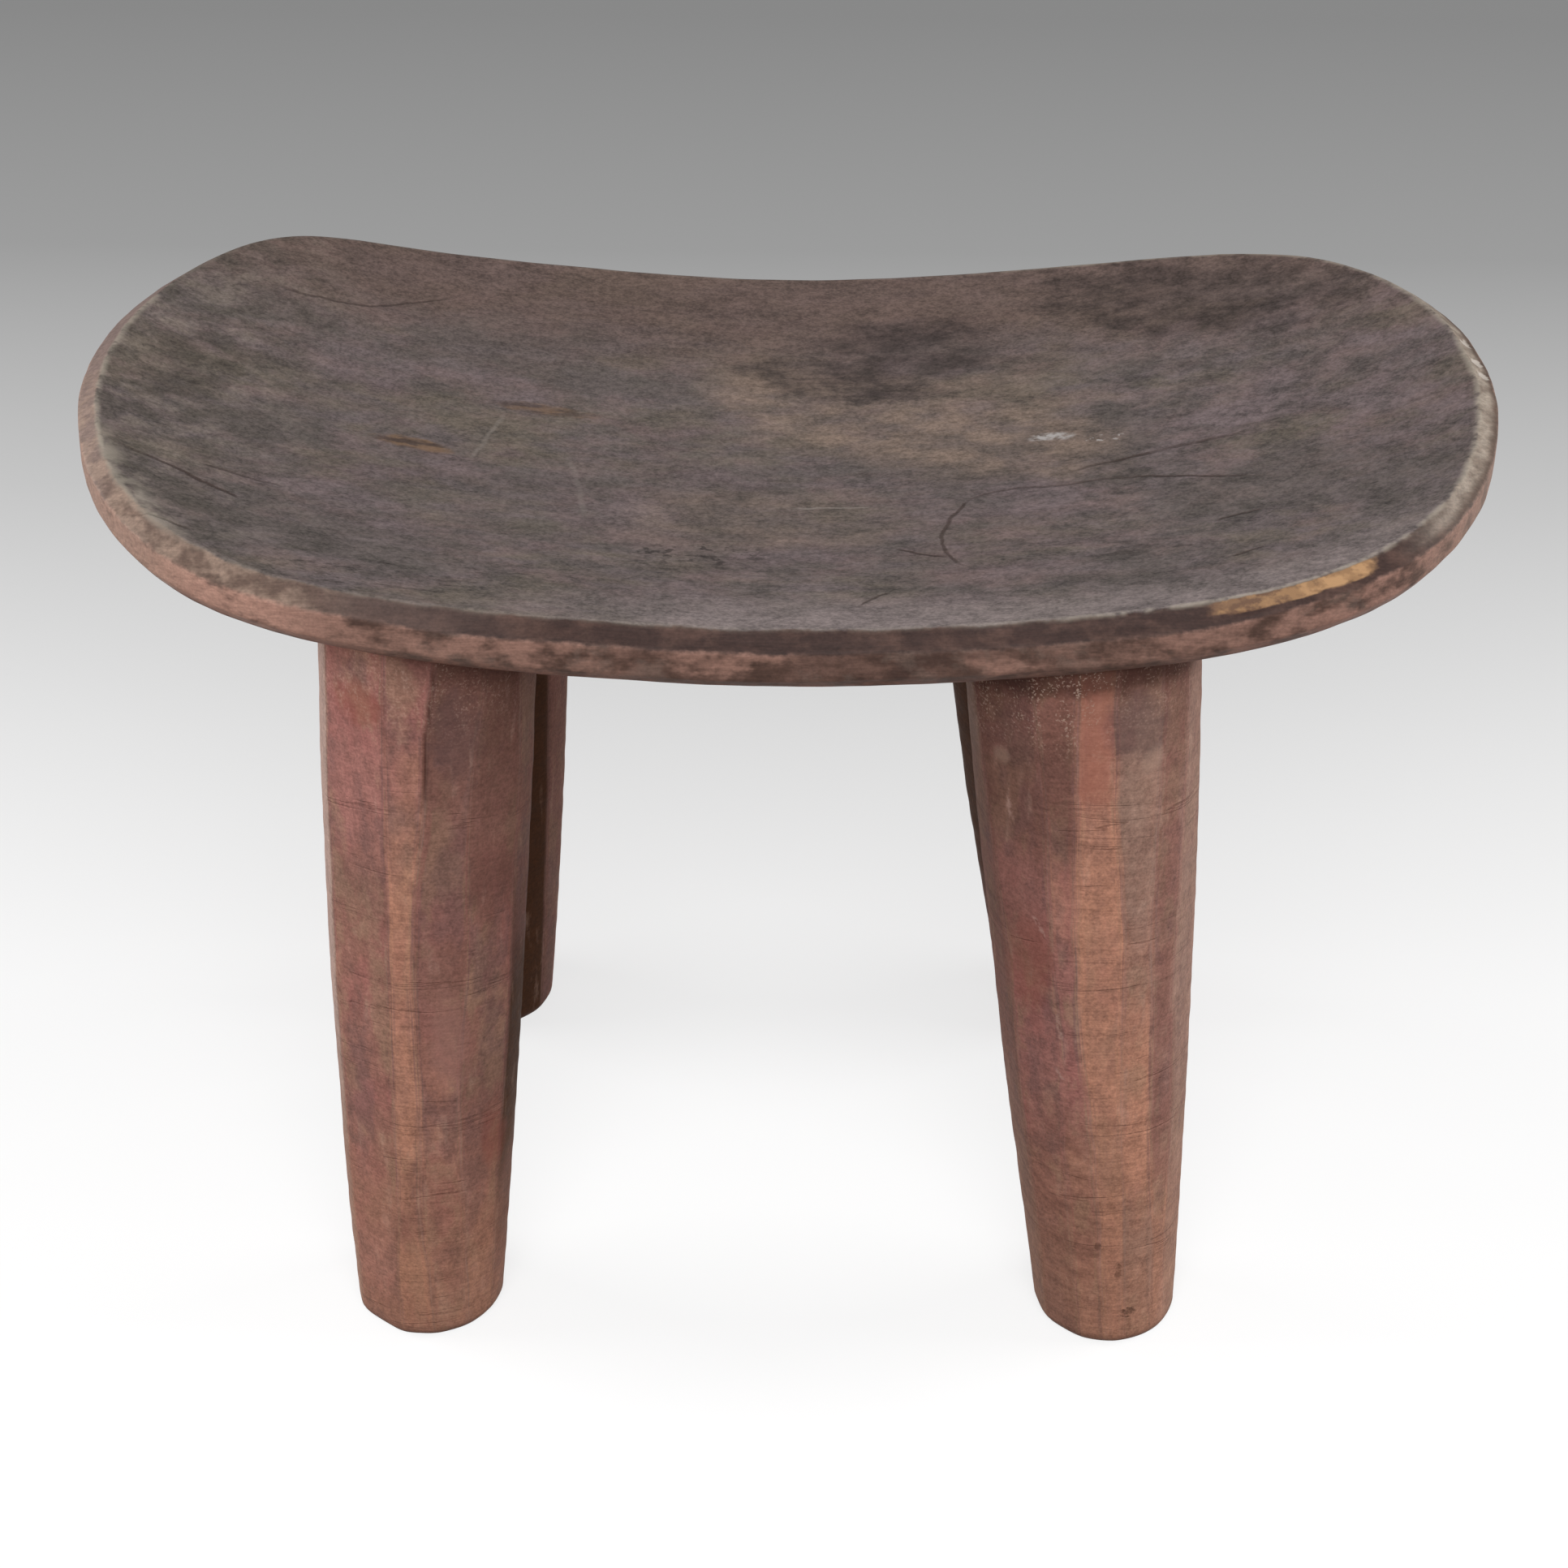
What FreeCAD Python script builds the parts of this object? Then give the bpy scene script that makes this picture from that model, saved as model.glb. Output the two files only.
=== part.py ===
"""A low four-legged stool carved with an adze: a dished, saddle-shaped oval seat on four faceted legs.

Millimetres, +Z up. The origin is on the floor, below the middle of the seat. +X runs along the seat, and the
front of the stool faces -Y. The wood is divided where the carver's shoulder cut parts each leg from the
underside of the seat, so the root of a leg is shaped to the swelling underside that it meets.
"""

import FreeCAD
import Part
import math
import os

Vector = FreeCAD.Vector

# Seat, seen from above
seat_length = 444.0
seat_width = 255.0
end_bluntness = 5.9
side_bluntness = 1.9

# Seat, seen from the side: the lip is the ridge between the dish and the outer bevel
lip_height = 286.5
left_end_rise = 27.0
right_end_rise = 29.5
saddle_bend = 1.8
dish_depth = 11.0
belly_depth = 15.0

# Rim of the seat, from the lip outwards and down
rim_thickness = 18.0
upper_bevel = 6.0
lower_bevel = 3.0

# Legs: the arrises are the edges between facets, in degrees around the leg from the front
sole_bevel = 1.2
arris_sway = 2.0
legs = {
    "front_left_leg": {
        "end": -1,
        "side": -1,
        "end_inset": 115.1,
        "side_inset": 41.5,
        "end_splay": 13.5,
        "side_splay": 0.5,
        "root_radius": 34.3,
        "foot_radius": 25.6,
        "swell": 2.1,
        "arrises": (-97, -67, -25, 2, 27, 56, 86, 113, 142, 171, 202, 232),
    },
    "front_right_leg": {
        "end": 1,
        "side": -1,
        "end_inset": 132.6,
        "side_inset": 41.5,
        "end_splay": 23.0,
        "side_splay": 0.5,
        "root_radius": 36.5,
        "foot_radius": 24.6,
        "swell": 1.5,
        "arrises": (-83, -51, -19, -4, 17, 41, 63, 92, 119, 147, 176, 207, 242),
    },
    "rear_left_leg": {
        "end": -1,
        "side": 1,
        "end_inset": 112.6,
        "side_inset": 42.5,
        "end_splay": 6.2,
        "side_splay": 1.0,
        "root_radius": 34.7,
        "foot_radius": 25.7,
        "swell": 2.0,
        "arrises": (-88, -60, -31, 1, 29, 61, 84, 108, 139, 168, 199, 236),
    },
    "rear_right_leg": {
        "end": 1,
        "side": 1,
        "end_inset": 142.7,
        "side_inset": 42.5,
        "end_splay": 29.2,
        "side_splay": 1.0,
        "root_radius": 36.3,
        "foot_radius": 24.9,
        "swell": 1.8,
        "arrises": (-106, -79, -50, -21, 8, 40, 66, 93, 121, 150, 183, 214),
    },
}

# Working values: how finely the curved faces are laid out, and how far cuts and blanks run past the wood
outline_points = 48
surface_columns = 25
surface_rows = 15
surface_margin = 1.06
cut_length = 200.0
leg_stations = 7
leg_overrun = 30.0
sole_tolerance = 0.001

half_length = seat_length / 2
half_width = seat_width / 2


def outline_level(x, y):
    """1 on the outline of the seat, less inside it and more outside it."""
    return abs(x / half_length) ** end_bluntness + abs(y / half_width) ** side_bluntness


def lip(x):
    """Height of the lip at x: the saddle, which rises to both ends."""
    rise = left_end_rise if x < 0 else right_end_rise
    return lip_height + rise * abs(x / half_length) ** saddle_bend


def dish(x, y):
    """Height of the hollowed top, which runs up to the lip all round."""
    return lip(x) - dish_depth * (1 - outline_level(x, y))


def underside(x, y):
    """Height of the swelling underside, whose edge is one rim thickness below the lip."""
    return lip(x) - rim_thickness - belly_depth * (1 - outline_level(x, y))


def carved_face(height):
    """A smooth face through a grid of heights, reaching a little past the outline."""
    grid = []
    for i in range(surface_columns):
        x = half_length * surface_margin * (2 * i / (surface_columns - 1) - 1)
        column = []
        for j in range(surface_rows):
            y = half_width * surface_margin * (2 * j / (surface_rows - 1) - 1)
            column.append(Vector(x, y, height(x, y)))
        grid.append(column)
    surface = Part.BSplineSurface()
    surface.interpolate(grid)
    return surface.toShape()


def wood_above(height):
    """All the wood above a carved face, to be cut away."""
    return carved_face(height).extrude(Vector(0, 0, cut_length))


def wood_below(height):
    """All the wood below a carved face, to be cut away."""
    return carved_face(height).extrude(Vector(0, 0, -cut_length))


def seat_outline(z):
    """The closed oval of the seat at height z, as one smooth edge."""
    ring = []
    for k in range(outline_points):
        turn = 2 * math.pi * k / outline_points
        along = math.cos(turn)
        across = (1 - abs(along) ** end_bluntness) ** (1 / side_bluntness)
        ring.append(Vector(half_length * along, half_width * math.copysign(across, math.sin(turn)), z))
    curve = Part.BSplineCurve()
    curve.interpolate(ring, PeriodicFlag=True)
    return Part.Wire(curve.toShape())


def rim_edge(solid, pick):
    """The highest or lowest edge that runs all round the rim."""
    rounds = [edge for edge in solid.Edges if edge.isClosed()]
    return pick(rounds, key=lambda edge: edge.BoundBox.ZMin)


def make_seat():
    """The oval blank with its dish and underside carved away and both edges of its rim bevelled."""
    bottom = underside(0, 0) - belly_depth
    seat = Part.Face(seat_outline(bottom)).extrude(Vector(0, 0, cut_length))
    seat = seat.cut(wood_above(dish)).cut(wood_below(underside))
    seat = seat.makeChamfer(upper_bevel, [rim_edge(seat, max)])
    return seat.makeChamfer(lower_bevel, [rim_edge(seat, min)])


def leg_section(centre, radius, arrises, sway):
    """One many-sided section of a leg, whose corners sway to and fro in turn."""
    corners = []
    for k, degrees in enumerate(arrises):
        angle = math.radians(degrees + sway * (-1) ** k)
        corners.append(centre + Vector(radius * math.sin(angle), -radius * math.cos(angle), 0))
    return Part.makePolygon(corners + corners[:1])


def make_leg(leg):
    """A leg that swells upwards from its sole and is cut off at the underside of the seat."""
    root_x = leg["end"] * (half_length - leg["end_inset"])
    root_y = leg["side"] * (half_width - leg["side_inset"])
    root_height = underside(root_x, root_y)
    root = Vector(root_x, root_y, root_height)
    foot = Vector(root_x + leg["end"] * leg["end_splay"], root_y + leg["side"] * leg["side_splay"], 0)
    sections = []
    for i in range(leg_stations):
        climb = (1 + leg_overrun / root_height) * i / (leg_stations - 1)
        short = max(1 - climb, 0)
        radius = leg["root_radius"] - (leg["root_radius"] - leg["foot_radius"]) * short ** leg["swell"]
        sway = arris_sway * math.sin(math.pi * climb)
        sections.append(leg_section(foot + (root - foot) * climb, radius, leg["arrises"], sway))
    blank = Part.makeLoft(sections, True, False)
    sole_edges = [edge for edge in blank.Edges if edge.BoundBox.ZMax < sole_tolerance]
    blank = blank.makeChamfer(sole_bevel, sole_edges)
    return blank.cut(wood_above(underside))


def main():
    pieces = {"seat": make_seat()}
    for name, leg in legs.items():
        pieces[name] = make_leg(leg)
    os.makedirs("parts", exist_ok=True)
    for name, shape in pieces.items():
        shape.exportStep(f"parts/{name}.step")
        print(f"{name}: {len(shape.Solids)} solid, valid {shape.isValid()}, {shape.Volume / 1000:.1f} cm3")


main()
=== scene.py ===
# %% [markdown]
# A low stool, carved with an adze from one length of log: a dished, saddle-shaped seat on four tapering
# legs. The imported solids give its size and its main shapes. In this lesson the seat and the legs are
# modelled again with the marks of the blade on them, and they get one wood, whose grain runs through the
# whole stool.

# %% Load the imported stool
import math

import bmesh
import bpy
import numpy as np
from mathutils import Matrix, Vector, noise


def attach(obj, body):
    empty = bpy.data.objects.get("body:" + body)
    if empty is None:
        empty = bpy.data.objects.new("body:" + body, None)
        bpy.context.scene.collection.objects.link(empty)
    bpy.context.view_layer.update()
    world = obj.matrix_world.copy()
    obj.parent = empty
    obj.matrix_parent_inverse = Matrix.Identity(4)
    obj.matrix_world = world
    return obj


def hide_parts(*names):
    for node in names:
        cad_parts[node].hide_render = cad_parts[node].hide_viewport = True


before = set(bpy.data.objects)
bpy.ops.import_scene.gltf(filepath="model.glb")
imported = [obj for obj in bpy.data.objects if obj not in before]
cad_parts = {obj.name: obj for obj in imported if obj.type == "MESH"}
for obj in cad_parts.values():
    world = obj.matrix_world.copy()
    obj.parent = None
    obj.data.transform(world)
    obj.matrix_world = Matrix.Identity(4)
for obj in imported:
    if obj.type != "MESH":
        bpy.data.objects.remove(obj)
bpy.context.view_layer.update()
scene = bpy.context.scene
print("nodes:", ", ".join(sorted(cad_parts)))

# %% [markdown]
# The camera stands in front of the stool and looks down on it by about a third of a right angle. A
# photograph gives the viewing angle and the length of the lens through the way its lines draw together. The
# frame was cut a little off the lens's middle, which is what the camera's shift is for, and the camera
# leaned by half a degree.

# %% Camera
mm = 0.001
photo_size = 1932
lens_in_pixels = 4030
middle_below_centre = 47
film_width = 36

looked_at = Vector((0, 0, 137.5 * mm))
camera_distance = 1127.5 * mm
camera_azimuth = 0.42
camera_elevation = 33.8
lean = math.radians(0.46)


def direction(azimuth, elevation):
    """The way from the stool to a place that lies so many degrees round from the front and up."""
    turn = math.radians(azimuth)
    rise = math.radians(elevation)
    return Vector((math.sin(turn) * math.cos(rise), -math.cos(turn) * math.cos(rise), math.sin(rise)))


towards_camera = direction(camera_azimuth, camera_elevation)

camera_data = bpy.data.cameras.new("camera")
camera_data.sensor_width = film_width
camera_data.lens = lens_in_pixels * film_width / photo_size
camera_data.shift_y = middle_below_centre / photo_size
camera = bpy.data.objects.new("camera", camera_data)
camera.location = looked_at + camera_distance * towards_camera
aim = (-towards_camera).to_track_quat("-Z", "Y").to_matrix()
camera.rotation_euler = (aim @ Matrix.Rotation(lean, 3, "Z")).to_euler()
scene.collection.objects.link(camera)
scene.camera = camera
scene.view_settings.view_transform = "Standard"
print("camera at", [round(c, 3) for c in camera.location], "lens", round(camera_data.lens, 1), "mm")

# %% [markdown]
# Materials are easier to read as sums than as pictures of wires. This small class wraps one output of a
# node. A sum, product or difference of wrapped outputs adds the Math nodes that work it out, and every
# other kind of node comes from the one method, which takes the node's settings and then a number, colour or
# wire per socket.


# %% Sums on shader sockets
class Wire:
    """One output of a shader node, which can be used in Python sums."""

    def __init__(self, tree, socket=None):
        self.tree = tree
        self.socket = socket

    def node(self, kind, settings, inputs, output=0):
        """Add a node, set it up, feed its sockets and return one of its outputs."""
        made = self.tree.nodes.new("ShaderNode" + kind)
        for name, value in settings.items():
            if name == "stops":
                while len(made.color_ramp.elements) < len(value):
                    made.color_ramp.elements.new(1)
                for element, (place, colour) in zip(made.color_ramp.elements, value):
                    element.position = place
                    element.color = colour
            elif name == "curve":
                points = made.mapping.curves[0].points
                while len(points) < len(value):
                    points.new(0.5, 0.5)
                for point, place in zip(points, value):
                    point.location = place
                made.mapping.update()
            else:
                setattr(made, name, value)
        for name, value in inputs.items():
            if isinstance(value, Wire):
                self.tree.links.new(value.socket, made.inputs[name])
            else:
                made.inputs[name].default_value = value
        return Wire(self.tree, made.outputs[output]) if made.outputs else None

    def sum(self, operation, first, second=0.0):
        return self.node("Math", {"operation": operation}, {0: first, 1: second})

    def __add__(self, other):
        return self.sum("ADD", self, other)

    def __radd__(self, other):
        return self.sum("ADD", other, self)

    def __sub__(self, other):
        return self.sum("SUBTRACT", self, other)

    def __rsub__(self, other):
        return self.sum("SUBTRACT", other, self)

    def __mul__(self, other):
        return self.sum("MULTIPLY", self, other)

    def __rmul__(self, other):
        return self.sum("MULTIPLY", other, self)

    def __truediv__(self, other):
        return self.sum("DIVIDE", self, other)

    def __abs__(self):
        return self.sum("ABSOLUTE", self)

    def __or__(self, other):
        return self.sum("MAXIMUM", self, other)


def new_material(name):
    """An empty material that is ready for nodes, and a wire to start from."""
    material = bpy.data.materials.new(name)
    material.use_nodes = True
    material.node_tree.nodes.clear()
    return material, Wire(material.node_tree)


def tint(red, green, blue):
    """A colour as it is seen on a screen, from 0 to 255, turned into the light that it stands for."""
    shares = [c / 255 for c in (red, green, blue)]
    light = [s / 12.92 if s < 0.04 else ((s + 0.055) / 1.055) ** 2.4 for s in shares]
    return (*light, 1.0)


def ramp(value, low, high):
    """0 below low and 1 above high, with a soft step between; low may be the larger one."""
    settings = {"interpolation_type": "SMOOTHSTEP"}
    return value.node("MapRange", settings, {"Value": value, "From Min": low, "From Max": high})


def blend(share, under, over):
    """Mix two colours: share 0 shows under, 1 shows over."""
    return share.node("Mix", {"data_type": "RGBA"}, {0: share, 6: under, 7: over}, 2)


def shaded(colour, value):
    """Multiply a colour by a value."""
    settings = {"data_type": "RGBA", "blend_type": "MULTIPLY"}
    return colour.node("Mix", settings, {0: 1.0, 6: colour, 7: value}, 2)


def strongest(masks):
    """The strongest of several masks at each point."""
    most, *others = masks
    for mask in others:
        most = most | mask
    return most


def painted(under, *layers):
    """Lay colours over one another; each layer is a share and its colour."""
    for share, over in layers:
        under = blend(share, under, over)
    return under


def tone(value, share=1.0):
    """The part that one noise has in the brightness of a colour."""
    return ramp(value, noise_low, noise_high) * share


def noted(start, name):
    """A number that was kept on the points of a mesh."""
    return start.node("Attribute", {"attribute_name": name}, {}, "Fac")


noise_low = 0.3
noise_high = 0.7
print("a mid grey of 128 stands for", round(tint(128, 128, 128)[0], 3), "of full light")

# %% [markdown]
# The table is a pale sheet that falls off to grey behind the stool. A wide floor with a gradient across its
# colour gives the same picture without a horizon. Part of what the camera sees of it is its own colour,
# which keeps the sheet even, and the rest is lit, so that the stool still throws its soft shadow.

# %% Floor
sheet = ((-0.15, 254), (0.09, 245), (0.27, 226), (0.50, 195), (0.79, 157), (1.17, 140))
sheet_start = -0.2
sheet_depth = 1.4
own_share = 0.72
own_strength = 1.06
thrown_back = tint(112, 98, 88)
floor_half = 5
floor_drop = 0.3 * mm

floor_bm = bmesh.new()
bmesh.ops.create_grid(floor_bm, x_segments=4, y_segments=4, size=floor_half)
bmesh.ops.translate(floor_bm, vec=(0, 0, -floor_drop), verts=floor_bm.verts)
floor_mesh = bpy.data.meshes.new("floor")
floor_bm.to_mesh(floor_mesh)
floor_bm.free()
floor = bpy.data.objects.new("floor", floor_mesh)
scene.collection.objects.link(floor)

floor_material, start = new_material("floor_sheet")
spot = start.node("TexCoord", {}, {}, "Object")
depth = start.node("SeparateXYZ", {}, {0: spot}, "Y")
stops = [((y - sheet_start) / sheet_depth, tint(grey, grey, grey)) for y, grey in sheet]
sheet_colour = start.node("ValToRGB", {"stops": stops}, {0: (depth - sheet_start) / sheet_depth})
seen_rays = ("Is Camera Ray", "Is Glossy Ray", "Is Transmission Ray")
seen_ray = strongest(start.node("LightPath", {}, {}, ray) for ray in seen_rays)
lit = start.node("BsdfDiffuse", {}, {"Color": blend(seen_ray, thrown_back, sheet_colour)})
own = start.node("Emission", {}, {"Color": sheet_colour, "Strength": own_strength})
shown = start.node("MixShader", {}, {0: seen_ray * own_share, 1: lit, 2: own})
start.node("OutputMaterial", {}, {"Surface": shown})
floor.data.materials.append(floor_material)
print("floor falls off from", sheet[0][1], "to", sheet[-1][1])

# %% [markdown]
# The light is soft and comes from the front and from both sides: the outer faces of the legs are bright,
# and the faces that look at each other under the seat are dark. Three wide area lamps give it, and an even
# sky fills the rest. The sheet throws little light back. The strengths are set so that a colour renders
# about as it is written.

# %% Lights
sky_strength = 0.26
lamps = {
    "left_lamp": {"azimuth": -97, "elevation": 20, "distance": 1.7, "power": 16, "size": 1.0},
    "right_lamp": {"azimuth": 97, "elevation": 20, "distance": 1.7, "power": 16, "size": 1.0},
    "front_lamp": {"azimuth": 0, "elevation": 42, "distance": 2.2, "power": 34, "size": 1.4},
}

world = bpy.data.worlds.new("studio")
world.use_nodes = True
world.node_tree.nodes.clear()
sky = Wire(world.node_tree)
fill = sky.node("Background", {}, {"Color": (1, 1, 1, 1), "Strength": sky_strength})
backdrop = sky.node("Background", {}, {"Color": tint(225, 225, 225), "Strength": 1.0})
camera_ray = sky.node("LightPath", {}, {}, "Is Camera Ray")
sky.node("OutputWorld", {}, {"Surface": sky.node("MixShader", {}, {0: camera_ray, 1: fill, 2: backdrop})})
scene.world = world

for name, lamp in lamps.items():
    lamp_data = bpy.data.lights.new(name, "AREA")
    lamp_data.size = lamp["size"]
    lamp_data.energy = lamp["power"]
    lamp_object = bpy.data.objects.new(name, lamp_data)
    way = direction(lamp["azimuth"], lamp["elevation"])
    lamp_object.location = looked_at + lamp["distance"] * way
    lamp_object.rotation_euler = way.to_track_quat("Z", "Y").to_euler()
    scene.collection.objects.link(lamp_object)
    print(name, "at", [round(c, 2) for c in lamp_object.location])

# %% [markdown]
# An adze never leaves a surface quite true. Most of the unevenness in this lesson comes from one helper,
# which gives smooth noise at a list of points. The noise is a fixed function of place, so each run carves
# the same stool, and two pieces that meet at a place are uneven in the same way there.


# %% Helpers for carving
def waver(points, waves_per_metre, shift=0.0):
    """Smooth noise between about -1 and 1 at each point; the waves may differ along x, y and z."""
    scaled = points * np.array(waves_per_metre) + shift
    return np.array([noise.noise(p) for p in scaled])


def mixed(share, under, over):
    """Go from under to over as share goes from 0 to 1."""
    return under + (over - under) * share


def soft_step(value, low, high):
    """0 below low and 1 above high, with a soft step between; low may be the larger one."""
    share = np.clip((value - low) / (high - low), 0, 1)
    return share * share * (3 - 2 * share)


def read_points(mesh):
    """The places of a mesh's vertices as rows of x, y, z."""
    flat = np.zeros(len(mesh.vertices) * 3)
    mesh.vertices.foreach_get("co", flat)
    return flat.reshape(-1, 3)


def write_points(mesh, points):
    mesh.vertices.foreach_set("co", points.ravel())
    mesh.update()


def note_on_points(mesh, name, values):
    """Keep one number for each vertex under a name that a material can read."""
    mesh.attributes.new(name, "FLOAT", "POINT").data.foreach_set("value", values)


print("noise at one place:", round(float(waver(np.array([[0.1, 0.2, 0.3]]), (10, 10, 10))[0]), 4))

# %% [markdown]
# The seat is an oval blank. Its top is hollowed both ways: a dish that runs up to the lip, on a saddle that
# rises to both ends. These are the same curves as in the solid, so that the legs and the seat still meet.
# Points on the outline are spaced evenly by length, because bunched points would make the rim's marks
# uneven.

# %% Curves of the seat
half_length = 222 * mm
half_width = 127.5 * mm
end_bluntness = 5.9
side_bluntness = 1.9
lip_middle = 286.5 * mm
left_rise = 27 * mm
right_rise = 29.5 * mm
saddle_bend = 1.8
dish_depth = 11 * mm
belly_depth = 15 * mm
rim_thickness = 18 * mm
outline_steps = 6000


def outline_level(x, y):
    """1 on the outline of the seat and less inside it."""
    return np.abs(x / half_length) ** end_bluntness + np.abs(y / half_width) ** side_bluntness


def lip(x):
    return lip_middle + np.where(x < 0, left_rise, right_rise) * np.abs(x / half_length) ** saddle_bend


def dish(x, y):
    return lip(x) - dish_depth * (1 - outline_level(x, y))


def underside(x, y):
    return lip(x) - rim_thickness - belly_depth * (1 - outline_level(x, y))


turns = np.linspace(0, 2 * math.pi, outline_steps + 1)
walk_x = half_length * np.cos(turns)
half_across = (1 - np.abs(np.cos(turns)) ** end_bluntness) ** (1 / side_bluntness)
walk_y = half_width * np.copysign(half_across, np.sin(turns))
walked = np.concatenate(([0], np.cumsum(np.hypot(np.diff(walk_x), np.diff(walk_y)))))


def outline_at(share):
    """Points and outward directions on the outline, by the share of the way round from the right end."""
    place = (share % 1) * walked[-1]
    x = np.interp(place, walked, walk_x)
    y = np.interp(place, walked, walk_y)
    steep_x = end_bluntness * np.sign(x) * np.abs(x / half_length) ** (end_bluntness - 1) / half_length
    steep_y = side_bluntness * np.sign(y) * np.abs(y / half_width) ** (side_bluntness - 1) / half_width
    length = np.hypot(steep_x, steep_y)
    return x, y, steep_x / length, steep_y / length


print("once round the seat is", round(walked[-1] / mm), "mm")

# %% [markdown]
# A blank for carving needs points where the blade will go: fine rows round the rim and an even net on both
# faces. A square grid is extruded into a block and its four walls are cut into rows. The block is then
# pressed into the oval, each square ring of the grid becoming one ring of the seat, so the lip is a clean
# row of edges.

# %% Seat blank
net = 176
rim_rows = 21

seat_bm = bmesh.new()
bmesh.ops.create_grid(seat_bm, x_segments=net, y_segments=net, size=1)
lifted = bmesh.ops.extrude_face_region(seat_bm, geom=seat_bm.faces[:])
top_points = [part for part in lifted["geom"] if isinstance(part, bmesh.types.BMVert)]
bmesh.ops.translate(seat_bm, vec=(0, 0, 1), verts=top_points)
walls = [edge for edge in seat_bm.edges if abs(edge.verts[0].co.z - edge.verts[1].co.z) > 0.5]
bmesh.ops.subdivide_edges(seat_bm, edges=walls, cuts=rim_rows - 1)
bmesh.ops.recalc_face_normals(seat_bm, faces=seat_bm.faces)
seat_mesh = bpy.data.meshes.new("seat_wood")
seat_bm.to_mesh(seat_mesh)
seat_bm.free()
print("seat blank:", len(seat_mesh.vertices), "points,", len(seat_mesh.polygons), "faces")

# %% [markdown]
# The rim has three cuts: a broad upper bevel from the lip down to a wavering arris, an upright band, and a
# small bevel below. Each cut is a straight line between two edges, and each edge wanders by noise, as it
# does when a blade is steered by eye. All wandering goes inwards, so the seat never grows past its solid.

# %% Carve the seat
upper_rows = 8
band_rows = 9
upper_inset = 6 * mm
upper_drop = 6.2 * mm
band_bottom = 15 * mm
lower_inset = 3 * mm
tiny = 1e-6

block = read_points(seat_mesh)
ring = np.maximum(np.abs(block[:, 0]), np.abs(block[:, 1]))
across = block[:, 0] / np.maximum(ring, tiny)
along = block[:, 1] / np.maximum(ring, tiny)
sides = [across > 1 - tiny, along > 1 - tiny, across < -1 + tiny]
share = np.select(sides, [along, 2 - across, 4 - along], 6 + across) / 8
out_x, out_y, way_x, way_y = outline_at(share)
on_outline = np.stack((out_x, out_y, np.zeros_like(out_x)), 1)

slow = waver(on_outline, (14, 14, 1))
quick_waver = waver(on_outline, (52, 52, 1), 7.3)
fine_waver = waver(on_outline, (150, 150, 1), 3.1)
hollow = 0.5 * mm * (1 + waver(on_outline, (9, 9, 1), 2.2))
lip_in = upper_inset + hollow + mm * (0.5 * slow + 0.35 * quick_waver)
arris_waver = waver(on_outline, (16, 16, 1), 5.5)
arris_drop = upper_drop + mm * (1.1 * arris_waver + 0.5 * quick_waver + 0.25 * fine_waver)
band_drop = band_bottom + mm * (0.7 * waver(on_outline, (20, 20, 1), 9.1) + 0.3 * fine_waver)
sole_in = lower_inset + hollow + mm * (0.7 * waver(on_outline, (24, 24, 1), 4.4) + 0.3 * fine_waver)


def rim_point(inset, height):
    return np.stack((out_x - way_x * inset, out_y - way_y * inset, height), 1)


lip_xy = rim_point(lip_in, 0 * lip_in)
lip_edge = rim_point(lip_in, dish(lip_xy[:, 0], lip_xy[:, 1]))
arris = rim_point(hollow, lip(out_x) - arris_drop)
band_edge = rim_point(hollow, lip(out_x) - band_drop)
sole_xy = rim_point(sole_in, 0 * sole_in)
sole_edge = rim_point(sole_in, underside(sole_xy[:, 0], sole_xy[:, 1]))

row = (1 - block[:, 2]) * rim_rows
low_rows = rim_rows - upper_rows - band_rows
upper_share = np.clip(row / upper_rows, 0, 1)[:, None]
band_share = np.clip((row - upper_rows) / band_rows, 0, 1)[:, None]
low_share = np.clip((row - upper_rows - band_rows) / low_rows, 0, 1)[:, None]
carved = mixed(low_share, mixed(band_share, mixed(upper_share, lip_edge, arris), band_edge), sole_edge)
print("upper bevel drops", round(arris_drop.min() / mm, 1), "to", round(arris_drop.max() / mm, 1), "mm")

# %% [markdown]
# The two broad faces are filled from the rim inwards. A ring's distance from the middle is bent a little,
# which puts more rings near the lip. Then the blade's marks go on: long shallow waves in the dish, where
# the adze was followed by sanding and by sitting, and short deep scallops underneath, where nobody smoothed
# them. The back left corner was left standing a little higher than the rest.

# %% Faces of the seat
ring_bend = 1.25
cut_ends = (0, 8.5, 17.5, 22)
rim_end = cut_ends[-1]
corner_middle = (-172 * mm, 100 * mm)
corner_reach = (34 * mm, 44 * mm)
corner_lift = 4.5 * mm

is_top = block[:, 2] > 1 - tiny
is_under = block[:, 2] < tiny
reach = (1 - (1 - ring) ** ring_bend)[:, None]
flat_top = lip_edge * reach
flat_under = sole_edge * reach
carved[is_top] = flat_top[is_top]
carved[is_under] = flat_under[is_under]
carved[is_top, 2] = dish(carved[is_top, 0], carved[is_top, 1])
carved[is_under, 2] = underside(carved[is_under, 0], carved[is_under, 1])

inside = np.hypot(carved[:, 0] - lip_edge[:, 0], carved[:, 1] - lip_edge[:, 1]) / mm
row_run = np.interp(row, [0, upper_rows, upper_rows + band_rows, rim_rows], cut_ends)
rim_run = np.where(is_top, -inside, np.where(is_under, rim_end + inside, row_run))

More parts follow.
